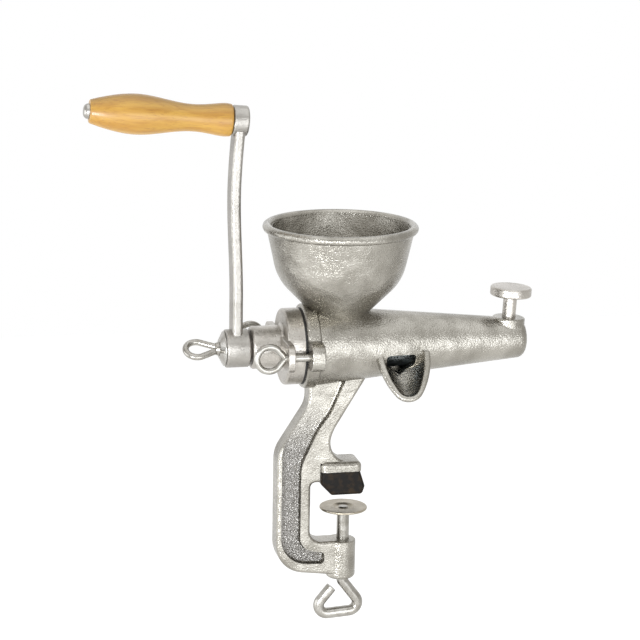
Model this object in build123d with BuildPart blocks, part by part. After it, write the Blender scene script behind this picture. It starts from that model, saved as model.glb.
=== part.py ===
import os
from math import acos, atan2, cos, degrees, radians, sin, sqrt

from build123d import *

os.makedirs("parts", exist_ok=True)

# Lengths are in millimetres. +X runs along the barrel to its nose, +Z is up, and the juice
# leaves on the -Y side. The origin is the centre of the lower face of the upper jaw's pad.

# Clearances
run = 0.05  # radial gap of a shaft or screw in its hole
seat = 0.1  # gap of pieces that rest on each other
screen_gap = 0.2
flight_gap = 0.5  # auger to screen

# Barrel, a cone about a level axis
barrel_z = 120.0
barrel_face_x = -37.5  # machined face that the cover closes
barrel_nose_x = 145.0
barrel_r_face = 32.6
barrel_r_nose = 15.4
barrel_nose_round = 7.0
face_ring_r = 33.2
face_ring_length = 9.5
bore_r_face = 26.5
bore_r_nose = 9.0
outlet_r = 7.0
spigot_r = 27.0
spigot_depth = 3.0

# Hopper, a bell about a vertical axis
hopper_x = -6.5
hopper_rim_z = 217.0
hopper_rim_r = 60.6
hopper_bead_r = 3.4
hopper_knee = (48.9, 173.2)  # radius and height where wall and funnel would meet
hopper_knee_round = 40.0
hopper_wall = 4.6
throat_r = 15.5

# Juice spout, half an ellipsoid hung from a sloping rim
spout_x = 39.8
spout_rim_top = (-25.0, 118.0)  # Y and Z of the rim's upper end
spout_lip = (-50.0, 85.2)  # Y and Z of the pouring lip
spout_half_width = 21.5
spout_wall = 5.4  # at the sides of the rim
spout_lip_wall = 4.3
spout_tip_radius = 13.0
spout_rim_round = 1.6

# Juice window in the barrel wall, under the spout's rim
window_x = (26.0, 51.0)
window_z = (98.5, 115.5)

# Nose boss and adjusting screw
knob_x = 131.4
knob_lean = 3.0
nose_boss_r = 13.0
nose_boss_top = 17.4  # above the barrel's axis
knob_shank_r = 5.4
knob_head_r = 16.4
knob_head_t = 7.5
knob_head_height = 34.5  # underside of the head above the barrel's axis
knob_tip_height = 6.8  # the tip, just inside the bore

# Cover and its eye screws
cover_face_x = -52.5
cover_r = 30.0
cover_boss_r = 16.7
cover_boss_end_x = -77.3
ear_y = 38.5
ear_tip = 9.2  # from the screw's axis to the ear's end
ear_half = 11.0  # half of the ear's height
ear_t = 5.5
ear_proud = 3.5  # of the drum's face
lug_length = 10.5
gasket_t = 1.5
eye_rod_r = 2.5
eye_screw_r = 3.0
eye_loop_r = 9.6  # to the middle of its rod
eye_loop_reach = 11.6  # neck to the loop's centre
eye_neck_x = -58.0
eye_neck_half = 1.2  # rod's middle from the screw's axis, at the neck
eye_shank_length = 30.0

# Shaft, thrust washer and auger
journal_r = 9.0
thrust_t = 2.0
thrust_r = 15.0
collar_r = 14.0
collar_t = 3.5
auger_end_x = 118.0
auger_core_face_r = 12.5
auger_core_end_r = 5.5
auger_pitch = 19.0
auger_flight_t = 3.2
square = 12.6
hub_bolt_r = 4.0

# Crank
hub_right_x = -78.7
hub_left_x = -97.3
hub_r = 15.0
arm_t = 8.2
arm_w = 18.5
arm_round = 2.9
arm_foot_x = -88.4
arm_bow_x = -90.7
arm_bow_z = 240.0
arm_top_x = -87.1
arm_top_z = 298.0
handle_tilt = 4.5  # of the grip's axis, up and outwards
top_boss_r = 11.8
top_boss_length = 12.4

# Crank eye screw and washer
crank_washer_r = 13.5
crank_washer_height = 4.6
crank_eye_rod_r = 2.5
crank_eye_ring_r = 8.5
crank_eye_reach = 15.2
crank_eye_neck_half = 2.3
crank_shank_length = 22.0
crank_eye_turn = 29.0  # of its eye about the shaft, from level

# Grip and spindle
grip_length = 108.5
spindle_r = 4.0
spindle_head_r = 5.9
spindle_head_t = 4.3

# Leg, a channelled C
leg_half = 10.0  # half of its thickness
web_half = 3.5
leg_left_x = -56.0
leg_outer_rim = 3.6  # its outer rim's width, beside the web
leg_inner_rim = 8.0
mouth_left_x = -28.8
mouth_top_z = 10.0
mouth_bottom_z = -39.6

# Upper jaw and pad
jaw_x = (-21.5, 11.8)
jaw_z = (19.0, 26.8)
jaw_half = 13.4
tongue_x = (-16.5, 8.0)
tongue_half = 9.5
pad_half = 13.8
pad_round = 2.6

# Lower boss, clamp screw and disc
boss_x = -1.6
boss_r = 11.9
boss_top_z = -40.0
boss_bottom_z = -71.8
clamp_r = 5.0
disc_r = 19.0
disc_t = 2.0
disc_top_z = -13.0
tip_r = 3.0
peen_r = 3.8
loop_rod_r = 4.4

# Juice screen, a rolled sheet in the barrel
screen_x = (12.0, 66.0)
screen_t = 0.8
hole_r = 0.7
hole_pitch = 2.6


def barrel_r(x):
    share = (x - barrel_face_x) / (barrel_nose_x - barrel_face_x)
    return barrel_r_face + share * (barrel_r_nose - barrel_r_face)


def bore_r(x):
    share = (x - barrel_face_x) / (barrel_nose_x - barrel_face_x)
    return bore_r_face + share * (bore_r_nose - bore_r_face)


barrel_axis = Axis((0, 0, barrel_z), (1, 0, 0))
hopper_axis = Axis((hopper_x, 0, 0), (0, 0, 1))


def save(part, name):
    part.part.label = name
    export_step(part.part, f"parts/{name}.step")


# ---- Leg: a C in the barrel's own plane, with a rounded rim round a thin web on both sides

leg_top_z = 95.0
shoulder = (-31.6, 73.5)  # where the left edge turns down and out
elbow_z = 35.0
heel_z = -62.0
arm_end_x = -6.0
flank_top = (15.0, 95.0)
flank_foot = (-8.6, 56.0)
neck_point = (-12.6, 46.5)
flare_end = (8.0, 26.6)
leg_round = 2.8
pocket_floor_round = 2.2
web_inset = 2.2  # from the leg's left edge, above the shoulder
web_end_x = -17.0  # right end of the web in the lower arm

with BuildPart() as leg:
    with BuildSketch(Plane.XZ):
        with BuildLine():
            left = FilletPolyline(
                (shoulder[0], leg_top_z), shoulder, (leg_left_x, elbow_z),
                (leg_left_x, heel_z), (arm_end_x, heel_z - 6.0), radius=(20, 26, 24),
            )
            end = Line(left @ 1, (arm_end_x, mouth_bottom_z))
            mouth = FilletPolyline(
                end @ 1, (mouth_left_x, mouth_bottom_z), (mouth_left_x, mouth_top_z),
                (jaw_x[0], mouth_top_z), radius=(10, 4),
            )
            root = Polyline(mouth @ 1, (jaw_x[0], jaw_z[1] - 1), (flare_end[0], jaw_z[1] - 1), flare_end)
            flank = Line(flank_top, flank_foot)
            neck = TangentArc(flank_foot, neck_point, tangent=flank % 1)
            flare = TangentArc(neck_point, flare_end, tangent=neck % 1)
            Line(flank_top, left @ 0)
        make_face()
    extrude(amount=leg_half, both=True)
    rim = leg.edges().filter_by(lambda e: abs(abs(e.center().Y) - leg_half) < 0.01)
    rim = rim.filter_by(lambda e: not (-25 < e.center().X < 9 and 5 < e.center().Z < 28.1))
    rim = rim.filter_by(lambda e: e.center().X < arm_end_x - 0.1 or e.center().Z > 0)
    rim = rim.filter_by(lambda e: e.center().Z < leg_top_z - 0.1)
    fillet(rim, leg_round)
    for side in (-1, 1):
        with BuildSketch(Plane.XZ.offset(-side * web_half)):
            with BuildLine():
                edge = FilletPolyline(
                    (shoulder[0] + web_inset, leg_top_z + 2), (shoulder[0] + web_inset, shoulder[1] + 2.5),
                    (leg_left_x + leg_outer_rim, elbow_z + 5), (leg_left_x + leg_outer_rim, heel_z + 6),
                    (web_end_x, heel_z + 4.5), (web_end_x, mouth_bottom_z - 8.4),
                    (mouth_left_x - leg_inner_rim, mouth_bottom_z - 5.4),
                    (mouth_left_x - leg_inner_rim, mouth_top_z + 14), (neck_point[0] - 11.4, neck_point[1] + 5.5),
                    (flank_foot[0] - 4.4, flank_foot[1] + 11), (flank_top[0] - 15.5, leg_top_z + 2),
                    radius=(20, 22, 22, 3.5, 3.5, 12, 30, 30, 30),
                )
                Line(edge @ 1, edge @ 0)
            make_face()
        extrude(amount=-side * leg_half, mode=Mode.SUBTRACT)
    floors = leg.faces().filter_by(lambda f: abs(abs(f.center().Y) - web_half) < 0.01)
    fillet(floors.edges().filter_by(lambda e: e.center().Z < leg_top_z - 1), pocket_floor_round)

# ---- Upper jaw with the tongue that carries the pad

with BuildPart() as jaw:
    with BuildSketch(Plane.XY.offset(jaw_z[0])):
        with Locations(((jaw_x[0] + jaw_x[1]) / 2, 0)):
            RectangleRounded(jaw_x[1] - jaw_x[0], 2 * jaw_half, 4.5)
    extrude(amount=jaw_z[1] - jaw_z[0])
    fillet(jaw.faces().sort_by(Axis.Z)[-1].edges(), 4)
    with BuildSketch(Plane.XY.offset(mouth_top_z)):
        with Locations(((tongue_x[0] + tongue_x[1]) / 2, 0)):
            RectangleRounded(tongue_x[1] - tongue_x[0], 2 * tongue_half, 2)
    extrude(amount=jaw_z[0] - mouth_top_z + 1)

# ---- Lower boss, where the clamp screw runs

with BuildPart() as boss:
    with BuildSketch(Plane.XY.offset(boss_bottom_z)):
        with Locations((boss_x, 0)):
            Circle(boss_r)
    extrude(amount=boss_top_z - boss_bottom_z)
    fillet(boss.edges().sort_by(Axis.Z)[0], 3)
    fillet(boss.edges().sort_by(Axis.Z)[-1], 1.5)

# ---- Barrel, nose boss and the lugs for the cover's screws

ring_end_x = barrel_face_x + face_ring_length

with BuildPart() as barrel:
    with BuildSketch(Plane.XZ) as barrel_profile:
        with BuildLine():
            Polyline(
                (barrel_face_x, barrel_z), (barrel_face_x, barrel_z + face_ring_r),
                (ring_end_x, barrel_z + face_ring_r), (ring_end_x + 1.5, barrel_z + barrel_r(ring_end_x + 1.5)),
                (barrel_nose_x, barrel_z + barrel_r_nose), (barrel_nose_x, barrel_z), close=True,
            )
        make_face()
        fillet(barrel_profile.vertices().filter_by(lambda v: v.X < barrel_face_x + 1 and v.Y > barrel_z + 1), 2.2)
        nose_corner = barrel_profile.vertices().filter_by(
            lambda v: v.X > barrel_nose_x - 0.1 and v.Y > barrel_z + 1
        )
        fillet(nose_corner, barrel_nose_round)
    revolve(axis=barrel_axis)

lean = (sin(radians(knob_lean)), 0, cos(radians(knob_lean)))
knob_axis = Plane(origin=(knob_x, 0, barrel_z), x_dir=(0, 1, 0), z_dir=lean)

with BuildPart() as nose:
    with BuildSketch(knob_axis):
        Circle(nose_boss_r)
    extrude(amount=nose_boss_top)
    fillet(nose.faces().sort_by(Axis.Z)[-1].edges(), 1.5)


def tab(x, thickness):
    with BuildPart() as both:
        with BuildSketch(Plane.YZ.offset(x)):
            with Locations((0, barrel_z)):
                RectangleRounded(2 * (ear_y + ear_tip), 2 * ear_half, ear_tip)
        extrude(amount=thickness)
        tips = both.faces().filter_by(Plane.YZ).edges()
        fillet(tips, 1.0)
    return both.part


lugs = tab(barrel_face_x, lug_length)

# ---- Hopper: outside and inside as two solids of revolution, and a beaded rim

bead_z = hopper_rim_z - hopper_bead_r
bead_centre_r = hopper_rim_r - hopper_bead_r
wall_slope = (bead_centre_r - hopper_knee[0]) / (bead_z - 3 - hopper_knee[1])
wall_across = hopper_wall / cos(wall_slope)
cone_shift = hopper_knee[1] - hopper_knee[0]
inner_knee_z = (hopper_knee[0] - wall_across - wall_slope * hopper_knee[1] + cone_shift
                + hopper_wall * 2 ** 0.5) / (1 - wall_slope)
inner_knee_r = inner_knee_z - cone_shift - hopper_wall * 2 ** 0.5
throat_top_z = throat_r + cone_shift + hopper_wall * 2 ** 0.5
inner_rim_r = inner_knee_r + wall_slope * (bead_z - inner_knee_z)
foot_r = 18.0

with BuildPart() as hopper:
    with BuildSketch(Plane.XZ.offset(0)):
        with BuildLine():
            outside = FilletPolyline(
                (hopper_x + foot_r, barrel_z + 4), (hopper_x + foot_r, foot_r + cone_shift),
                (hopper_x + hopper_knee[0], hopper_knee[1]),
                (hopper_x + bead_centre_r, bead_z - 3), (hopper_x + bead_centre_r, bead_z),
                radius=(2, hopper_knee_round, 2),
            )
            Polyline(outside @ 1, (hopper_x, bead_z), (hopper_x, barrel_z + 4), outside @ 0)
        make_face()
    revolve(axis=hopper_axis)

with BuildPart() as bowl:
    with BuildSketch(Plane.XZ):
        with BuildLine():
            inside = FilletPolyline(
                (hopper_x + throat_r, barrel_z), (hopper_x + throat_r, throat_top_z),
                (hopper_x + inner_knee_r, inner_knee_z), (hopper_x + inner_rim_r, bead_z),
                (hopper_x + inner_rim_r, hopper_rim_z + 2),
                radius=(8, hopper_knee_round - hopper_wall, 3),
            )
            Polyline(inside @ 1, (hopper_x, hopper_rim_z + 2), (hopper_x, barrel_z), inside @ 0)
        make_face()
    revolve(axis=hopper_axis)

with BuildPart() as bead:
    with BuildSketch(Plane.XZ):
        with Locations((hopper_x + bead_centre_r, bead_z)):
            Circle(hopper_bead_r)
    revolve(axis=hopper_axis)

# ---- Spout: half of an egg turned about the line down the middle of its sloping rim

rim_run = spout_lip[0] - spout_rim_top[0]
rim_drop = spout_lip[1] - spout_rim_top[1]
spout_length = (rim_run ** 2 + rim_drop ** 2) ** 0.5
rim_down = (0, rim_run / spout_length, rim_drop / spout_length)
rim_normal = (0, rim_drop / spout_length, -rim_run / spout_length)
rim_plane = Plane(origin=(spout_x, *spout_rim_top), x_dir=rim_down, z_dir=rim_normal)


def egg(length, half_width, tip_radius):
    side_radius = ((length - tip_radius) ** 2 + half_width ** 2 - tip_radius ** 2) / (
        2 * (half_width - tip_radius))
    slope = atan2(side_radius - half_width, length - tip_radius)
    joint = (length - tip_radius + tip_radius * cos(slope), -tip_radius * sin(slope))
    with BuildPart() as whole:
        with BuildSketch(rim_plane):
            with BuildLine():
                side = TangentArc((0, -half_width), joint, tangent=(1, 0))
                tip = TangentArc(joint, (length, 0), tangent=side % 1)
                Polyline(tip @ 1, (0, 0), side @ 0)
            make_face()
        revolve(axis=Axis(rim_plane.origin, rim_plane.x_dir))
    return whole.part


with BuildPart() as spout:
    add(egg(spout_length, spout_half_width, spout_tip_radius))
    add(
        egg(spout_length - spout_lip_wall, spout_half_width - spout_wall, spout_tip_radius - spout_lip_wall),
        mode=Mode.SUBTRACT,
    )
    split(bisect_by=rim_plane, keep=Keep.BOTTOM)
    rim_edges = spout.faces().filter_by(lambda f: abs(f.normal_at().dot(Vector(rim_normal))) > 0.999).edges()
    rim_edges = rim_edges.filter_by(lambda e: rim_plane.to_local_coords(e.center()).X > 1)
    fillet(rim_edges, spout_rim_round)

# ---- Body casting: the shapes above as one, then its bores

with BuildPart() as body:
    add(barrel.part)
    add(hopper.part)
    add(nose.part)
    add(lugs)
    add(leg.part)
    add(jaw.part)
    add(boss.part)
    add(spout.part)
    add(bead.part)
    add(bowl.part, mode=Mode.SUBTRACT)
    with BuildSketch(Plane.XZ):
        with BuildLine():
            bore_end_x = barrel_nose_x - 5.0
            Polyline(
                (barrel_face_x - 1, barrel_z), (barrel_face_x - 1, barrel_z + spigot_r),
                (barrel_face_x + spigot_depth, barrel_z + spigot_r),
                (barrel_face_x + spigot_depth, barrel_z + bore_r(barrel_face_x + spigot_depth)),
                (bore_end_x, barrel_z + bore_r(bore_end_x)), (bore_end_x, barrel_z + outlet_r),
                (barrel_nose_x + 1, barrel_z + outlet_r), (barrel_nose_x + 1, barrel_z), close=True,
            )
        make_face()
    revolve(axis=barrel_axis, mode=Mode.SUBTRACT)
    with BuildSketch(Plane.XZ) as window:
        with BuildLine():
            middle = (window_x[0] + window_x[1]) / 2
            FilletPolyline(
                (window_x[0], window_z[1]), (window_x[1], window_z[1]),
                (window_x[1] - 1, window_z[1] - 9), (middle, window_z[0]),
                (window_x[0] + 1, window_z[1] - 9), radius=3, close=True,
            )
        make_face()
    extrude(amount=30, mode=Mode.SUBTRACT)
    with BuildSketch(knob_axis):
        Circle(knob_shank_r + run)
    extrude(amount=nose_boss_top + 5, mode=Mode.SUBTRACT)
    with BuildSketch(Plane.YZ.offset(barrel_face_x - 1)):
        with Locations((-ear_y, barrel_z), (ear_y, barrel_z)):
            Circle(eye_screw_r + run)
    extrude(amount=lug_length + 2, mode=Mode.SUBTRACT)
    with BuildSketch(Plane.XY.offset(boss_bottom_z - 1)):
        Circle(clamp_r + run)
    extrude(amount=boss_top_z - boss_bottom_z + 2, mode=Mode.SUBTRACT)
save(body, "body_casting")

# ---- End cover: drum, bearing boss and ears, closing the barrel over a gasket

spigot_end_x = barrel_face_x + spigot_depth - seat
drum_end_x = barrel_face_x - gasket_t

with BuildPart() as cover:
    with BuildSketch(Plane.XZ) as cover_profile:
        with BuildLine():
            Polyline(
                (cover_boss_end_x, barrel_z), (cover_boss_end_x, barrel_z + cover_boss_r),
                (cover_face_x, barrel_z + cover_boss_r + 0.4), (cover_face_x, barrel_z + cover_r),
                (drum_end_x, barrel_z + cover_r), (drum_end_x, barrel_z + spigot_r - run),
                (spigot_end_x, barrel_z + spigot_r - run), (spigot_end_x, barrel_z), close=True,
            )
        make_face()
        left_corners = cover_profile.vertices().filter_by(lambda v: v.Y > barrel_z + 1 and v.X < drum_end_x - 1)
        fillet(left_corners, 2.2)
    revolve(axis=barrel_axis)
    add(tab(cover_face_x - ear_proud, ear_t))
    with BuildSketch(Plane.YZ.offset(cover_boss_end_x - 1)):
        with Locations((0, barrel_z)):
            Circle(journal_r + run)
    extrude(amount=spigot_end_x - cover_boss_end_x + 2, mode=Mode.SUBTRACT)
    with BuildSketch(Plane.YZ.offset(cover_face_x - ear_proud - 1)):
        with Locations((-ear_y, barrel_z), (ear_y, barrel_z)):
            Circle(eye_screw_r + run)
    extrude(amount=ear_t + 2, mode=Mode.SUBTRACT)
save(cover, "end_cover")

with BuildPart() as gasket:
    with BuildSketch(Plane.YZ.offset(drum_end_x)):
        with Locations((0, barrel_z)):
            Circle(cover_r)
            Circle(spigot_r + seat, mode=Mode.SUBTRACT)
    extrude(amount=gasket_t)
save(gasket, "cover_gasket")

with BuildPart() as thrust_washer:
    with BuildSketch(Plane.YZ.offset(spigot_end_x)):
        with Locations((0, barrel_z)):
            Circle(thrust_r)
            Circle(journal_r + seat, mode=Mode.SUBTRACT)
    extrude(amount=thrust_t)
    fillet(thrust_washer.edges().filter_by(GeomType.CIRCLE).sort_by(SortBy.RADIUS)[-2:], 0.3)
save(thrust_washer, "thrust_washer")

# ---- Auger: one screw with its collar, journal and square end

collar_x = spigot_end_x + thrust_t + seat
flight_x = collar_x + collar_t
flight_clear = screen_gap + screen_t + flight_gap


def flight_r(x):
    return bore_r(x) - flight_clear


flight_inner_r = 4.0
flight_outer_r = bore_r_face
flight_middle_r = (flight_inner_r + flight_outer_r) / 2
flight_length = auger_end_x - flight_x

with BuildPart() as flight:
    with BuildLine():
        turn = Helix(
            auger_pitch, flight_length + auger_pitch, flight_middle_r,
            center=(flight_x - auger_pitch / 2, 0, barrel_z), direction=(1, 0, 0),
        )
    with BuildSketch(Plane(origin=turn @ 0, x_dir=(0, 0, 1), z_dir=(0, -1, 0))):
        Rectangle(flight_outer_r - flight_inner_r, auger_flight_t)
    shaft_line = Edge.make_line((flight_x - auger_pitch, 0, barrel_z), (auger_end_x + auger_pitch, 0, barrel_z))
    sweep(binormal=shaft_line)
    with BuildSketch(Plane.XZ):
        with BuildLine():
            Polyline(
                (flight_x, barrel_z), (flight_x, barrel_z + flight_r(flight_x)),
                (auger_end_x, barrel_z + flight_r(auger_end_x)), (auger_end_x, barrel_z), close=True,
            )
        make_face()
    revolve(axis=barrel_axis, mode=Mode.INTERSECT)

square_end_x = hub_left_x + 0.8
tap_depth = 20.0

with BuildPart() as auger:
    with BuildSketch(Plane.XZ) as core_profile:
        with BuildLine():
            Polyline(
                (hub_right_x, barrel_z), (hub_right_x, barrel_z + journal_r),
                (collar_x, barrel_z + journal_r), (collar_x, barrel_z + collar_r),
                (flight_x, barrel_z + collar_r), (flight_x, barrel_z + auger_core_face_r),
                (auger_end_x, barrel_z + auger_core_end_r), (auger_end_x, barrel_z), close=True,
            )
        make_face()
        fillet(core_profile.vertices().filter_by(
            lambda v: v.X > auger_end_x - 0.1 and v.Y > barrel_z + 1), 3)
    revolve(axis=barrel_axis)
    add(flight.part)
    with BuildSketch(Plane.YZ.offset(square_end_x)):
        with Locations((0, barrel_z)):
            RectangleRounded(square, square, 0.8)
    extrude(amount=hub_right_x - square_end_x + 1)
    with BuildSketch(Plane.YZ.offset(square_end_x)):
        with Locations((0, barrel_z)):
            Circle(hub_bolt_r + run)
    extrude(amount=tap_depth, mode=Mode.SUBTRACT)
save(auger, "auger")

# ---- Juice screen: a perforated sleeve against the bore

screen_middle = (screen_x[0] + screen_x[1]) / 2
hole_columns = 10
hole_rows = 4
row_step = degrees(hole_pitch / bore_r(screen_middle))

with BuildPart() as screen:
    with BuildSketch(Plane.XZ):
        with BuildLine():
            Polyline(
                (screen_x[0], barrel_z + bore_r(screen_x[0]) - screen_gap),
                (screen_x[1], barrel_z + bore_r(screen_x[1]) - screen_gap),
                (screen_x[1], barrel_z + bore_r(screen_x[1]) - screen_gap - screen_t),
                (screen_x[0], barrel_z + bore_r(screen_x[0]) - screen_gap - screen_t), close=True,
            )
        make_face()
    revolve(axis=barrel_axis)
    for row in range(hole_rows):
        turn_down = 9.0 + row * row_step
        across = (0, -cos(radians(turn_down)), -sin(radians(turn_down)))
        with BuildSketch(Plane(origin=(window_x[0], 0, barrel_z), x_dir=(1, 0, 0), z_dir=across)):
            with GridLocations(hole_pitch, 1, hole_columns, 1):
                with Locations(((window_x[1] - window_x[0]) / 2 + (row % 2) * hole_pitch / 2, 0)):
                    Circle(hole_r)
        extrude(amount=bore_r_face, mode=Mode.SUBTRACT)
save(screen, "juice_screen")

# ---- Crank: hub, bowed arm and the boss that carries the grip

outwards = Vector(-cos(radians(handle_tilt)), 0, sin(radians(handle_tilt)))
handle_centre = Vector(arm_top_x, 0, arm_top_z)

with BuildPart() as crank:
    with BuildSketch(Plane.YZ.offset(hub_left_x)):
        with Locations((0, barrel_z)):
            Circle(hub_r)
    extrude(amount=hub_right_x - hub_left_x)
    fillet(crank.edges().filter_by(GeomType.CIRCLE), 1.5)
    with BuildLine(Plane.XZ):
        low = Line((arm_foot_x, barrel_z), (arm_foot_x, barrel_z + 40))
        Spline(
            (arm_foot_x, barrel_z + 40), (arm_bow_x, arm_bow_z), (arm_top_x, arm_top_z),
            tangents=((0, 1), (0.09, 1)),
        )
    with BuildSketch(Plane(origin=(arm_foot_x, 0, barrel_z), x_dir=(1, 0, 0), z_dir=(0, 0, 1))):
        RectangleRounded(arm_t, arm_w, arm_round)
    sweep()
    with BuildSketch(Plane(origin=handle_centre - outwards * (top_boss_length / 2), z_dir=outwards)):
        Circle(top_boss_r)
    extrude(amount=top_boss_length)
    top_edges = crank.edges().filter_by(GeomType.CIRCLE).filter_by(
        lambda e: abs(e.radius - top_boss_r) < 0.01)
    fillet(top_edges, 1.8)
    with BuildSketch(Plane.YZ.offset(hub_left_x - 1)):
        with Locations((0, barrel_z)):
            RectangleRounded(square + 2 * run, square + 2 * run, 0.8)
    extrude(amount=hub_right_x - hub_left_x + 2, mode=Mode.SUBTRACT)
    with BuildSketch(Plane(origin=handle_centre - outwards * top_boss_length, z_dir=outwards)):
        Circle(spindle_r + run)
    extrude(amount=2 * top_boss_length, mode=Mode.SUBTRACT)
save(crank, "crank_arm")

# ---- Grip and the spindle it turns on, both drawn along the handle's own axis

handle_plane = Plane(origin=handle_centre, x_dir=outwards, z_dir=(0, -1, 0))
handle_axis = Axis(handle_centre, outwards)
grip_start = top_boss_length / 2 + seat
grip_end = grip_start + grip_length

with BuildPart() as grip:
    with BuildSketch(handle_plane) as grip_profile:
        with BuildLine():
            shape = Spline(
                (grip_start, 12.2), (grip_start + 5, 12.7), (grip_start + 15, 11.6), (grip_start + 32, 10.4),
                (grip_start + 52, 13.0), (grip_start + 72, 15.4), (grip_start + 92, 13.2), (grip_end, 8.8),
            )
            Polyline(
                shape @ 1, (grip_end, spindle_r + run), (grip_start, spindle_r + run), shape @ 0,
            )
        make_face()
        rounded = grip_profile.vertices().filter_by(lambda v: v.Y > spindle_r + 1)
        fillet(rounded, 1.5)
    revolve(axis=handle_axis)
save(grip, "handle_grip")

spindle_start = -top_boss_length / 2 - seat

with BuildPart() as spindle:
    with BuildSketch(handle_plane) as spindle_profile:
        with BuildLine():
            Polyline(
                (spindle_start - 1.0, 0), (spindle_start - 1.0, spindle_r + 0.6), (spindle_start, spindle_r + 1.4),
                (spindle_start, spindle_r), (grip_end + seat, spindle_r), (grip_end + seat, spindle_head_r),
                (grip_end + seat + spindle_head_t, spindle_head_r), (grip_end + seat + spindle_head_t, 0), close=True,
            )
        make_face()
        fillet(spindle_profile.vertices().sort_by(Axis.X)[-2:].sort_by(Axis.Y)[-1], spindle_head_t - 0.6)
    revolve(axis=handle_axis)
save(spindle, "handle_spindle")


# ---- Eye screws: a shank with its rod bent into an eye; drawn along -X, the eye in the XY plane


def eye_screw(rod_r, ring_r, reach, neck_half, shank_r, shank_length):
    turn = atan2(neck_half, reach) + acos(ring_r / sqrt(reach ** 2 + neck_half ** 2))
    touch = (-reach + ring_r * cos(turn), ring_r * sin(turn))
    with BuildPart() as eye:
        with BuildLine():
            limb = Line((0, neck_half), touch)
            TangentArc(limb @ 1, (-reach - ring_r, 0), tangent=limb % 1)
        with BuildSketch(Plane(origin=limb @ 0, z_dir=limb % 0)):
            Circle(rod_r)
        sweep()
        mirror(about=Plane.XZ)
        with Locations((0, neck_half), (0, -neck_half)):
            Sphere(rod_r)
        with BuildSketch(Plane.YZ):
            Circle(shank_r)
        extrude(amount=shank_length)
        fillet(eye.edges().filter_by(GeomType.CIRCLE).sort_by(Axis.X)[-1], 0.6)
    return eye.part


cover_eye = eye_screw(
    eye_rod_r, eye_loop_r, eye_loop_reach, eye_neck_half, eye_screw_r, eye_shank_length)
for side, where in ((-1, "front"), (1, "rear")):
    with BuildPart() as placed:
        add(Pos(eye_neck_x, side * ear_y, barrel_z) * Rot(90, 0, 0) * cover_eye)
    save(placed, f"cover_eye_screw_{where}")

washer_top_x = hub_left_x - crank_washer_height

with BuildPart() as crank_washer:
    with BuildSketch(Plane.XZ):
        with BuildLine():
            Polyline(
                (hub_left_x - seat, barrel_z + hub_bolt_r + seat), (hub_left_x - seat, barrel_z + crank_washer_r),
                (hub_left_x - 1.2, barrel_z + crank_washer_r), (washer_top_x, barrel_z + 7.2),
                (washer_top_x, barrel_z + hub_bolt_r + seat), close=True,
            )
        make_face()
    revolve(axis=barrel_axis)
    fillet(crank_washer.edges().filter_by(GeomType.CIRCLE).filter_by(lambda e: e.radius > 7), 0.5)
save(crank_washer, "crank_washer")

crank_neck_x = washer_top_x - seat
with BuildPart() as crank_eye:
    add(Pos(crank_neck_x - 2.0, 0, barrel_z) * Rot(crank_eye_turn, 0, 0) * eye_screw(
        crank_eye_rod_r, crank_eye_ring_r, crank_eye_reach, crank_eye_neck_half, hub_bolt_r,
        crank_shank_length))
    with BuildSketch(Plane.YZ.offset(crank_neck_x)):
        with Locations((0, barrel_z)):
            Circle(hub_bolt_r + 1.6)
    extrude(amount=-2.4, taper=20)
save(crank_eye, "crank_eye_screw")

# ---- Adjusting screw in the nose

with BuildPart() as adjuster:
    with BuildSketch(knob_axis.offset(knob_tip_height)):
        Circle(knob_shank_r)
    extrude(amount=knob_head_height - knob_tip_height + 1)
    fillet(adjuster.edges().sort_by(Axis.Z)[0], 2)
    with BuildSketch(knob_axis.offset(knob_head_height)):
        Circle(knob_head_r)
    extrude(amount=knob_head_t)
    fillet(adjuster.edges().filter_by(GeomType.CIRCLE).filter_by(
        lambda e: abs(e.radius - knob_head_r) < 0.01), 1.6)
save(adjuster, "adjusting_screw")

# ---- Pad: a rubber boot over the upper jaw's tongue

pad_top_z = jaw_z[0] - seat

with BuildPart() as pad:
    with BuildSketch(Plane.XZ):
        with BuildLine():
            Polyline(
                (jaw_x[0] + 0.3, pad_top_z), (10.4, pad_top_z), (14.4, 6.5), (12.4, 0),
                (-12.6, 0), (jaw_x[0] + 0.3, 9.0), close=True,
            )
        make_face()
    extrude(amount=pad_half, both=True)
    upright = pad.edges().filter_by(lambda e: abs(e.center().Y) < pad_half - 0.1)
    fillet(upright.filter_by(lambda e: e.center().Z < pad_top_z - 0.1), pad_round + 0.4)
    fillet(pad.edges().filter_by(
        lambda e: abs(abs(e.center().Y) - pad_half) < 0.01 and e.center().Z < pad_top_z - 0.1), pad_round)
    with BuildSketch(Plane.XY.offset(mouth_top_z - seat)):
        with Locations(((tongue_x[0] + tongue_x[1]) / 2, 0)):
            RectangleRounded(
                tongue_x[1] - tongue_x[0] + 2 * seat, 2 * (tongue_half + seat), 2
            )
    extrude(amount=pad_top_z, mode=Mode.SUBTRACT)
save(pad, "jaw_pad")

# ---- Clamp disc, dished in the middle where the screw's tip is peened over it

disc_floor_z = disc_top_z - 1.2
disc_low_z = disc_floor_z - disc_t

with BuildPart() as disc:
    with BuildSketch(Plane.XZ):
        with BuildLine():
            Polyline(
                (tip_r + run, disc_low_z), (8.0, disc_low_z), (10.0, disc_top_z - disc_t),
                (disc_r, disc_top_z - disc_t), (disc_r, disc_top_z), (8.8, disc_top_z),
                (6.8, disc_floor_z), (tip_r + run, disc_floor_z), close=True,
            )
        make_face()
    revolve(axis=Axis.Z)
    fillet(disc.edges().filter_by(GeomType.CIRCLE).filter_by(lambda e: e.radius > disc_r - 0.1), 0.8)
save(disc, "clamp_disc")

# ---- Clamp screw, its lower end bent into a loop handle

shoulder_z = disc_low_z - seat
shank_foot_z = -72.0

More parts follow.
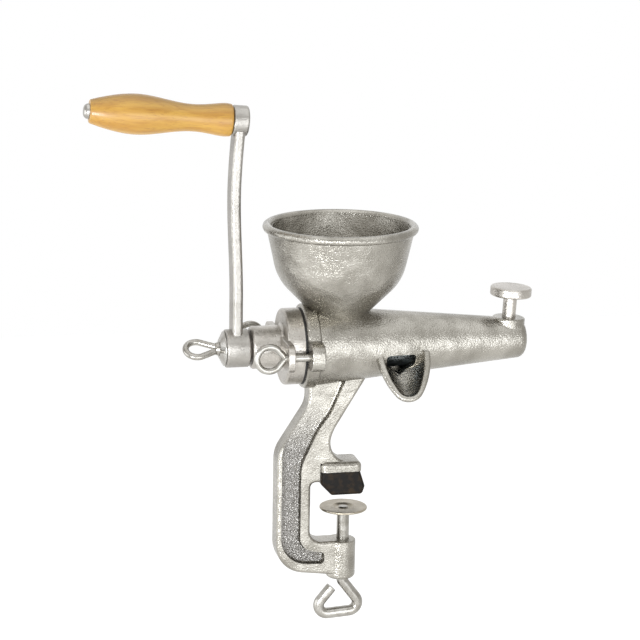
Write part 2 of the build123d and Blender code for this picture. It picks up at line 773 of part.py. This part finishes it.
with BuildPart() as loop:
    with BuildLine():
        first = FilletPolyline(
            (0, shank_foot_z + 3), (0, -75.5), (19.5, -101.0), (-3.0, -102.5), radius=(4, 7)
        )
    with BuildSketch(Plane(origin=first @ 0, z_dir=first % 0)):
        Circle(loop_rod_r)
    sweep()
with BuildPart() as loop_back:
    with BuildLine():
        second = FilletPolyline((-3.0, -102.5), (-27.3, -104.0), (-8.5, -81.0), radius=7)
    with BuildSketch(Plane(origin=second @ 0, z_dir=second % 0)):
        Circle(loop_rod_r)
    sweep()

with BuildPart() as clamp_screw:
    add(Rot(90, 0, 0) * loop.part)
    add(Rot(90, 0, 0) * loop_back.part)
    with BuildSketch(Plane.XZ):
        with BuildLine():
            Polyline(
                (0, shank_foot_z - 0.6), (clamp_r - 0.5, shank_foot_z - 0.6), (clamp_r, shank_foot_z),
                (clamp_r, shoulder_z), (tip_r, shoulder_z), (tip_r, disc_floor_z + run),
                (peen_r, disc_floor_z + run), (peen_r, disc_floor_z + 0.5), (peen_r - 0.7, disc_floor_z + 1.0),
                (0, disc_floor_z + 1.1), close=True,
            )
        make_face()
    revolve(axis=Axis.Z)
save(clamp_screw, "clamp_screw")
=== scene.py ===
import math

import bmesh
import bpy
from mathutils import Matrix, Vector


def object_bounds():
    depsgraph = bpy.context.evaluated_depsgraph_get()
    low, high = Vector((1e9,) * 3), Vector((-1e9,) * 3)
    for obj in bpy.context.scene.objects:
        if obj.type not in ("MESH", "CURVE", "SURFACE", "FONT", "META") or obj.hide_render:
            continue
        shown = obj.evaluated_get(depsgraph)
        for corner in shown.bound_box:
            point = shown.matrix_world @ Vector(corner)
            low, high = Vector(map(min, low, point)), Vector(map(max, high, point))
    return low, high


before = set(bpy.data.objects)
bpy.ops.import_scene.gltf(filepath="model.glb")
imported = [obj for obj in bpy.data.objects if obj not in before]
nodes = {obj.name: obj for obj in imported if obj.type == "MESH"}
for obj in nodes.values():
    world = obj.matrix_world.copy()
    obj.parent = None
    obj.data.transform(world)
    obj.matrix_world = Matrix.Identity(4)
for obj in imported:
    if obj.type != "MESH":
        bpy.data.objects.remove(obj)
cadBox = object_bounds()
print("loaded", len(nodes), "nodes")

mmPerMetre = 1000
# the places of a colour Mix's two colours among its inputs, and of their mix among its outputs
firstColour, secondColour, mixedColour = 6, 7, 2


def toLinear(hexColour):
    channels = []
    for start in (0, 2, 4):
        value = int(hexColour[start:start + 2], 16) / 255
        channels.append(value / 12.92 if value <= 0.04045 else ((value + 0.055) / 1.055) ** 2.4)
    return (*channels, 1.0)


def addNode(tree, kind, settings=None, inputs=None, links=None):
    node = tree.nodes.new(kind)
    for name, value in (settings or {}).items():
        setattr(node, name, value)
    for name, value in (inputs or {}).items():
        node.inputs[name].default_value = value
    for name, socket in (links or {}).items():
        tree.links.new(socket, node.inputs[name])
    return node


def startMaterial(name, shaderInputs):
    material = bpy.data.materials.new(name)
    material.use_nodes = True
    tree = material.node_tree
    tree.nodes.clear()
    shader = addNode(tree, "ShaderNodeBsdfPrincipled", inputs=shaderInputs)
    addNode(tree, "ShaderNodeOutputMaterial", links={"Surface": shader.outputs[0]})
    place = addNode(tree, "ShaderNodeTexCoord").outputs["Object"]
    return material, tree, shader, place


# Two close tones in soft patches, as tinning, plating and handling leave them: gives the
# patches and their colour. The pattern's values between low and high run from dark to light.
def paintPatches(tree, place, look, low=0.35, high=0.65):
    patches = addNode(
        tree, "ShaderNodeTexNoise", inputs={"Scale": mmPerMetre / look["patchMm"], "Detail": 4.0},
        links={"Vector": place},
    )
    share = addNode(
        tree, "ShaderNodeMapRange", inputs={"From Min": low, "From Max": high},
        links={"Value": patches.outputs[0]},
    )
    colour = addNode(
        tree, "ShaderNodeMix", {"data_type": "RGBA"},
        {firstColour: toLinear(look["dark"]), secondColour: toLinear(look["light"])},
        {"Factor": share.outputs[0]},
    )
    return patches.outputs[0], colour.outputs[mixedColour]


# Tin over sand-cast iron: a warm grey metal whose skin keeps the sand's grain, so highlights
# break up into sparkling specks over slow swells left by the hand-dressed mould. The grain,
# about 0.3 mm on the real skin, is drawn four or five times as coarse so that it shows.
def tinnedIron(name, look):
    material, tree, shader, place = startMaterial(name, {"Metallic": 1.0})
    colour = paintPatches(tree, place, look)[1]
    grain = addNode(
        tree, "ShaderNodeTexNoise",
        inputs={"Scale": mmPerMetre / look["grainMm"], "Detail": 2.0, "Roughness": 0.6},
        links={"Vector": place},
    )
    swell = addNode(
        tree, "ShaderNodeTexNoise", inputs={"Scale": mmPerMetre / look["swellMm"], "Detail": 1.0},
        links={"Vector": place},
    )
    smoothest, roughest = look["roughness"] - 0.06, look["roughness"] + 0.1
    sheen = addNode(
        tree, "ShaderNodeMapRange",
        inputs={"From Min": 0.3, "From Max": 0.7, "To Min": smoothest, "To Max": roughest},
        links={"Value": grain.outputs[0]},
    )
    waves = addNode(
        tree, "ShaderNodeBump", inputs={"Distance": look["swellDepthMm"] / mmPerMetre},
        links={"Height": swell.outputs[0]},
    )
    skin = addNode(
        tree, "ShaderNodeBump", inputs={"Distance": look["grainDepthMm"] / mmPerMetre},
        links={"Height": grain.outputs[0], "Normal": waves.outputs[0]},
    )
    tree.links.new(colour, shader.inputs["Base Color"])
    tree.links.new(sheen.outputs[0], shader.inputs["Roughness"])
    tree.links.new(skin.outputs[0], shader.inputs["Normal"])
    return material


# The leg's thin web was never dressed: inside the rims its skin grows pitted like coarse
# sandpaper from the top of the leg downwards. This goes over the casting's own skin.
def roughenWeb(material, look):
    tree = material.node_tree
    shader = next(node for node in tree.nodes if node.type == "BSDF_PRINCIPLED")
    skin = shader.inputs["Normal"].links[0].from_socket
    colour = shader.inputs["Base Color"].links[0].from_socket
    place = next(node for node in tree.nodes if node.type == "TEX_COORD").outputs["Object"]
    facing = addNode(tree, "ShaderNodeNewGeometry").outputs["True Normal"]
    where = addNode(tree, "ShaderNodeSeparateXYZ", links={"Vector": place})
    turned = addNode(tree, "ShaderNodeSeparateXYZ", links={"Vector": facing})
    across = addNode(tree, "ShaderNodeMath", {"operation": "ABSOLUTE"}, links={0: where.outputs["Y"]})
    sideways = addNode(tree, "ShaderNodeMath", {"operation": "ABSOLUTE"}, links={0: turned.outputs["Y"]})
    deep = addNode(
        tree, "ShaderNodeMath", {"operation": "LESS_THAN"},
        {1: look["halfMm"] / mmPerMetre}, {0: across.outputs[0]},
    )
    flat = addNode(
        tree, "ShaderNodeMath", {"operation": "GREATER_THAN"}, {1: look["facing"]}, {0: sideways.outputs[0]},
    )
    low = addNode(
        tree, "ShaderNodeMapRange",
        inputs={"From Min": look["topMm"] / mmPerMetre, "From Max": look["coarseMm"] / mmPerMetre},
        links={"Value": where.outputs["Z"]},
    )
    recess = addNode(
        tree, "ShaderNodeMath", {"operation": "MULTIPLY"}, links={0: deep.outputs[0], 1: low.outputs[0]},
    )
    web = addNode(
        tree, "ShaderNodeMath", {"operation": "MULTIPLY"}, links={0: recess.outputs[0], 1: flat.outputs[0]},
    )
    pits = addNode(
        tree, "ShaderNodeTexNoise",
        inputs={"Scale": mmPerMetre / look["grainMm"], "Detail": 2.0, "Roughness": 0.7},
        links={"Vector": place},
    )
    pitted = addNode(
        tree, "ShaderNodeBump", inputs={"Distance": look["depthMm"] / mmPerMetre},
        links={"Height": pits.outputs[0], "Normal": skin, "Strength": web.outputs[0]},
    )
    tone = addNode(
        tree, "ShaderNodeMix", {"data_type": "RGBA"}, {secondColour: toLinear(look["colour"])},
        {"Factor": web.outputs[0], firstColour: colour},
    )
    tree.links.new(tone.outputs[mixedColour], shader.inputs["Base Color"])
    tree.links.new(pitted.outputs[0], shader.inputs["Normal"])


# Drawn steel, zinc plated or turned: smoother than the casting, with faint marks of the die or
# the tool. They are about 0.1 mm wide, and are drawn several times as coarse so that they show.
def drawnSteel(name, look):
    material, tree, shader, place = startMaterial(name, {"Metallic": 1.0})
    patches, colour = paintPatches(tree, place, look)
    smoothest, roughest = look["roughness"] - 0.05, look["roughness"] + 0.08
    sheen = addNode(
        tree, "ShaderNodeMapRange",
        inputs={"From Min": 0.3, "From Max": 0.7, "To Min": smoothest, "To Max": roughest},
        links={"Value": patches},
    )
    marks = addNode(
        tree, "ShaderNodeTexNoise",
        inputs={"Scale": mmPerMetre / look["markMm"], "Detail": 3.0, "Roughness": 0.6},
        links={"Vector": place},
    )
    skin = addNode(
        tree, "ShaderNodeBump", inputs={"Distance": look["markDepthMm"] / mmPerMetre},
        links={"Height": marks.outputs[0]},
    )
    tree.links.new(colour, shader.inputs["Base Color"])
    tree.links.new(sheen.outputs[0], shader.inputs["Roughness"])
    tree.links.new(skin.outputs[0], shader.inputs["Normal"])
    return material


# Turned beech under clear varnish: honey-coloured, fine fibres along the grip, slow darker
# bands where the turning cuts the year rings, and a soft gloss on top. The fibres, about
# 0.3 mm wide in the wood, are drawn three times as wide so that they show.
def varnishedBeech(name, look):
    material, tree, shader, place = startMaterial(name, {
        "Roughness": look["roughness"], "IOR": 1.5,
        "Coat Weight": look["varnish"], "Coat Roughness": look["varnishRoughness"],
    })
    lean = (0, math.radians(look["tiltDeg"]), 0)
    fibreSpace = addNode(
        tree, "ShaderNodeMapping", {"vector_type": "TEXTURE"},
        {"Rotation": lean, "Scale": (look["fibreStretch"], 1, 1)}, {"Vector": place},
    )
    bandSpace = addNode(
        tree, "ShaderNodeMapping", {"vector_type": "TEXTURE"},
        {"Rotation": lean, "Scale": (look["bandStretch"], 1, 1)}, {"Vector": place},
    )
    fibres = addNode(
        tree, "ShaderNodeTexNoise",
        inputs={"Scale": mmPerMetre / look["fibreMm"], "Detail": 4.0, "Roughness": 0.65},
        links={"Vector": fibreSpace.outputs[0]},
    )
    bands = addNode(
        tree, "ShaderNodeTexNoise",
        inputs={"Scale": mmPerMetre / look["bandMm"], "Detail": 2.0, "Distortion": 0.4},
        links={"Vector": bandSpace.outputs[0]},
    )
    bandShare = addNode(
        tree, "ShaderNodeMapRange", inputs={"From Min": 0.38, "From Max": 0.62},
        links={"Value": bands.outputs[0]},
    )
    fibreShare = addNode(
        tree, "ShaderNodeMapRange",
        inputs={"From Min": 0.52, "From Max": 0.72, "To Max": look["fibreStrength"]},
        links={"Value": fibres.outputs[0]},
    )
    ground = addNode(
        tree, "ShaderNodeMix", {"data_type": "RGBA"},
        {firstColour: toLinear(look["light"]), secondColour: toLinear(look["middle"])},
        {"Factor": bandShare.outputs[0]},
    )
    colour = addNode(
        tree, "ShaderNodeMix", {"data_type": "RGBA"}, {secondColour: toLinear(look["dark"])},
        {"Factor": fibreShare.outputs[0], firstColour: ground.outputs[mixedColour]},
    )
    skin = addNode(
        tree, "ShaderNodeBump",
        inputs={"Strength": look["reliefStrength"], "Distance": look["reliefMm"] / mmPerMetre},
        links={"Height": fibres.outputs[0]},
    )
    tree.links.new(colour.outputs[mixedColour], shader.inputs["Base Color"])
    tree.links.new(skin.outputs[0], shader.inputs["Normal"])
    return material


# Moulded rubber: near black, with fine pores and faint scuffs that catch the light. The pores,
# about 0.2 mm wide, are drawn four times as coarse so that they show.
def mouldedRubber(name, look):
    material, tree, shader, place = startMaterial(
        name, {"Roughness": look["roughness"], "IOR": 1.52, "Specular IOR Level": look["specular"]},
    )
    colour = paintPatches(tree, place, look, low=0.45, high=0.75)[1]
    pores = addNode(
        tree, "ShaderNodeTexNoise", inputs={"Scale": mmPerMetre / look["poreMm"], "Detail": 2.0},
        links={"Vector": place},
    )
    skin = addNode(
        tree, "ShaderNodeBump",
        inputs={"Strength": look["reliefStrength"], "Distance": look["reliefMm"] / mmPerMetre},
        links={"Height": pores.outputs[0]},
    )
    tree.links.new(colour, shader.inputs["Base Color"])
    tree.links.new(skin.outputs[0], shader.inputs["Normal"])
    return material


# Machined nylon: off-white and slightly mottled.
def machinedNylon(name, look):
    material, tree, shader, place = startMaterial(name, {"Roughness": look["roughness"], "IOR": 1.53})
    mottle = addNode(
        tree, "ShaderNodeTexNoise", inputs={"Scale": mmPerMetre / look["mottleMm"], "Detail": 2.0},
        links={"Vector": place},
    )
    colour = addNode(
        tree, "ShaderNodeMix", {"data_type": "RGBA"},
        {firstColour: toLinear(look["dark"]), secondColour: toLinear(look["light"])},
        {"Factor": mottle.outputs[0]},
    )
    tree.links.new(colour.outputs[mixedColour], shader.inputs["Base Color"])
    return material


castingLook = {
    "light": "A29E95", "dark": "87837A", "patchMm": 22, "grainMm": 1.2, "grainDepthMm": 0.42,
    "swellMm": 11, "swellDepthMm": 0.9, "roughness": 0.22,
}
webLook = {
    "halfMm": 4.7,  # the web's faces lie nearer than this to the casting's middle plane
    "facing": 0.6,  # and look sideways by more than this share
    "topMm": 75,  # the pits begin at this height
    "coarseMm": 35,  # and are full below this one
    "grainMm": 1.6, "depthMm": 1.3, "colour": "84817C",
}
casting = tinnedIron("tinned cast iron", castingLook)
roughenWeb(casting, webLook)

coverLook = {
    "light": "B4AFA7", "dark": "9F9A92", "patchMm": 16, "grainMm": 1.2, "grainDepthMm": 0.25,
    "swellMm": 7, "swellDepthMm": 0.3, "roughness": 0.3,
}
cover = tinnedIron("tinned iron, dressed smooth", coverLook)

discLook = {
    "light": "A79F90", "dark": "918979", "patchMm": 12, "grainMm": 1.5, "grainDepthMm": 0.2,
    "swellMm": 6, "swellDepthMm": 0.2, "roughness": 0.34,
}
disc = tinnedIron("tinned iron disc", discLook)

crankLook = {
    "light": "A19D96", "dark": "908C85", "patchMm": 18, "grainMm": 1.3, "grainDepthMm": 0.35,
    "swellMm": 8, "swellDepthMm": 0.4, "roughness": 0.34,
}
crankIron = tinnedIron("tinned crank iron", crankLook)

augerLook = {
    "light": "96918A", "dark": "7F7A72", "patchMm": 12, "grainMm": 1.4, "grainDepthMm": 0.2,
    "swellMm": 6, "swellDepthMm": 0.3, "roughness": 0.36,
}
feedIron = tinnedIron("tinned feed screw", augerLook)

rodLook = {
    "light": "A5A29B", "dark": "8B877F", "patchMm": 7, "markMm": 0.9, "markDepthMm": 0.05,
    "roughness": 0.27,
}
rod = drawnSteel("zinc plated rod", rodLook)

pinLook = {
    "light": "ACA9A3", "dark": "98948D", "patchMm": 6, "markMm": 0.8, "markDepthMm": 0.03,
    "roughness": 0.24,
}
pin = drawnSteel("turned steel pin", pinLook)

screenLook = {
    "light": "83898D", "dark": "6C7276", "patchMm": 5, "markMm": 0.7, "markDepthMm": 0.03,
    "roughness": 0.32,
}
sheet = drawnSteel("stainless sheet", screenLook)

gripLook = {
    "tiltDeg": 4.5,  # the grip leans with its pin, and the fibres with it
    "light": "C6973F", "middle": "B3812D", "dark": "865117", "fibreMm": 0.9, "fibreStretch": 26,
    "fibreStrength": 0.55, "bandMm": 6.5, "bandStretch": 9, "reliefMm": 0.1, "reliefStrength": 0.4,
    "roughness": 0.45, "varnish": 0.35, "varnishRoughness": 0.2,
}
padLook = {
    "dark": "0C0804", "light": "2E2110", "patchMm": 5, "poreMm": 0.9, "reliefMm": 0.1,
    "reliefStrength": 0.6, "roughness": 0.3, "specular": 0.14,
}
gasketLook = {
    "dark": "171614", "light": "24221F", "patchMm": 3, "poreMm": 0.8, "reliefMm": 0.1,
    "reliefStrength": 0.6, "roughness": 0.6, "specular": 0.5,
}
thrustLook = {"dark": "CBC7BA", "light": "DEDACE", "mottleMm": 3, "roughness": 0.5}

finishes = {
    "body_casting": casting,
    "end_cover": cover,
    "crank_arm": crankIron,
    "adjusting_screw": cover,
    "clamp_disc": disc,
    "auger": feedIron,
    "clamp_screw": rod,
    "crank_eye_screw": rod,
    "cover_eye_screw_front": rod,
    "cover_eye_screw_rear": rod,
    "crank_washer": pin,
    "handle_spindle": pin,
    "juice_screen": sheet,
    "handle_grip": varnishedBeech("varnished beech", gripLook),
    "jaw_pad": mouldedRubber("moulded black rubber", padLook),
    "cover_gasket": mouldedRubber("pressed gasket rubber", gasketLook),
    "thrust_washer": machinedNylon("machined nylon", thrustLook),
}
for nodeName, finish in finishes.items():
    for materialSlot in nodes[nodeName].material_slots:
        materialSlot.material = finish
print("finished", len(finishes), "nodes")

# the photograph's viewpoint: a long lens, a little above and to the left of the spout
camera = {
    "yawDeg": 13.0,  # the lens looks this far to the object's right
    "pitchDeg": 13.4,  # and this far down
    "rollDeg": 1.0,
    "sensorMm": 36,
    "focalPixels": 2331.0,
    "frameSide": 640,
    "anchorPixel": (343.5, 490.0),  # where the middle of the jaw pad's lower face shows
    "middleHeight": 0.170,  # of the object's middle above that face, in metres
    "middleDepth": 1.818,  # and how far before the lens it lies
}
yaw, pitch, roll = (math.radians(camera[key]) for key in ("yawDeg", "pitchDeg", "rollDeg"))
ahead = Vector((math.sin(yaw) * math.cos(pitch), math.cos(yaw) * math.cos(pitch), -math.sin(pitch)))
level = Vector((math.cos(yaw), -math.sin(yaw), 0))
upright = level.cross(ahead)
right = level * math.cos(roll) + upright * math.sin(roll)
up = upright * math.cos(roll) - level * math.sin(roll)
half = camera["frameSide"] / 2
towards = ahead + right * ((camera["anchorPixel"][0] - half) / camera["focalPixels"])
towards += up * ((half - camera["anchorPixel"][1]) / camera["focalPixels"])
lensPlace = -towards * (camera["middleDepth"] + camera["middleHeight"] * math.sin(pitch))

lensData = bpy.data.cameras.new("photo camera")
lensData.sensor_width = camera["sensorMm"]
lensData.lens = camera["sensorMm"] * camera["focalPixels"] / camera["frameSide"]
lensData.clip_end = 20
lens = bpy.data.objects.new("photo camera", lensData)
lens.matrix_world = Matrix.Translation(lensPlace) @ Matrix((right, up, -ahead)).transposed().to_4x4()
bpy.context.scene.collection.objects.link(lens)
bpy.context.scene.camera = lens
print("camera placed")

# the studio, in metres: a pale floor well below the hanging clamp, in a white surround
studio = {
    "floorDrop": 0.45, "floorSide": 5.6, "floorColour": "DAD8D4",
    "floorGlow": 0.82,  # how much of its own white the floor shows the lens
    "surround": 0.12,  # how strongly the surround lights matt surfaces
    "daylight": "F2F7FF",
}

floorMesh = bmesh.new()
bmesh.ops.create_grid(floorMesh, x_segments=1, y_segments=1, size=studio["floorSide"] / 2)
floorData = bpy.data.meshes.new("floor")
floorMesh.to_mesh(floorData)
floorMesh.free()
floorData.transform(Matrix.Translation((0, 0, cadBox[0][2] - studio["floorDrop"])))
floor = bpy.data.objects.new("floor", floorData)
bpy.context.scene.collection.objects.link(floor)


# 1 for rays from the lens, and for what metal reflects or glass lets through
def seenDirectly(tree):
    rays = addNode(tree, "ShaderNodeLightPath")
    mirrored = addNode(
        tree, "ShaderNodeMath", {"operation": "MAXIMUM"},
        links={0: rays.outputs["Is Camera Ray"], 1: rays.outputs["Is Glossy Ray"]},
    )
    return addNode(
        tree, "ShaderNodeMath", {"operation": "MAXIMUM"},
        links={0: mirrored.outputs[0], 1: rays.outputs["Is Transmission Ray"]},
    ).outputs[0]


# matt white paint that looks a little brighter than it lights its surroundings
floorPaint, floorTree, floorShader = startMaterial("matt floor paint", {
    "Base Color": toLinear(studio["floorColour"]), "Roughness": 0.9, "Emission Color": (1, 1, 1, 1),
})[:3]
floorGlow = addNode(
    floorTree, "ShaderNodeMath", {"operation": "MULTIPLY"},
    {1: studio["floorGlow"]}, {0: seenDirectly(floorTree)},
)
floorTree.links.new(floorGlow.outputs[0], floorShader.inputs["Emission Strength"])
floorData.materials.append(floorPaint)

surround = bpy.data.worlds.new("white surround")
surround.use_nodes = True
surroundTree = surround.node_tree
surroundTree.nodes.clear()
strength = addNode(
    surroundTree, "ShaderNodeMapRange", inputs={"To Min": studio["surround"], "To Max": 1.0},
    links={"Value": seenDirectly(surroundTree)},
)
glow = addNode(
    surroundTree, "ShaderNodeBackground", inputs={"Color": (1, 1, 1, 1)},
    links={"Strength": strength.outputs[0]},
)
addNode(surroundTree, "ShaderNodeOutputWorld", links={"Surface": glow.outputs[0]})
bpy.context.scene.world = surround

# soft boxes that the lens doesn't see: name, place, what it faces, width, height, watts
panels = [
    ("front panel", (0.3, -1.7, 0.10), (0.0, 0.0, 0.10), 1.2, 1.0, 16),
    ("key panel", (-0.9, -1.30, 0.05), (0.0, 0.0, 0.15), 0.25, 0.5, 19),
    ("left panel", (-1.8, 0.1, 0.05), (0.0, 0.0, 0.10), 1.5, 1.1, 13),
    ("ceiling", (0.0, -0.4, 2.40), (0.0, 0.0, 0.0), 3.0, 3.0, 30),
    ("back wall", (0.0, 2.6, 1.50), (0.0, 0.0, 1.50), 4.4, 2.7, 12),
]
for name, place, target, width, height, watts in panels:
    panelData = bpy.data.lights.new(name, "AREA")
    panelData.shape = "RECTANGLE"
    panelData.size = width
    panelData.size_y = height
    panelData.energy = watts
    panelData.color = toLinear(studio["daylight"])[:3]
    panel = bpy.data.objects.new(name, panelData)
    panel.visible_camera = False
    aim = Vector(target) - Vector(place)
    panel.matrix_world = Matrix.Translation(place) @ aim.to_track_quat("-Z", "Y").to_matrix().to_4x4()
    bpy.context.scene.collection.objects.link(panel)

bpy.context.scene.view_settings.view_transform = "Standard"

print("studio ready")
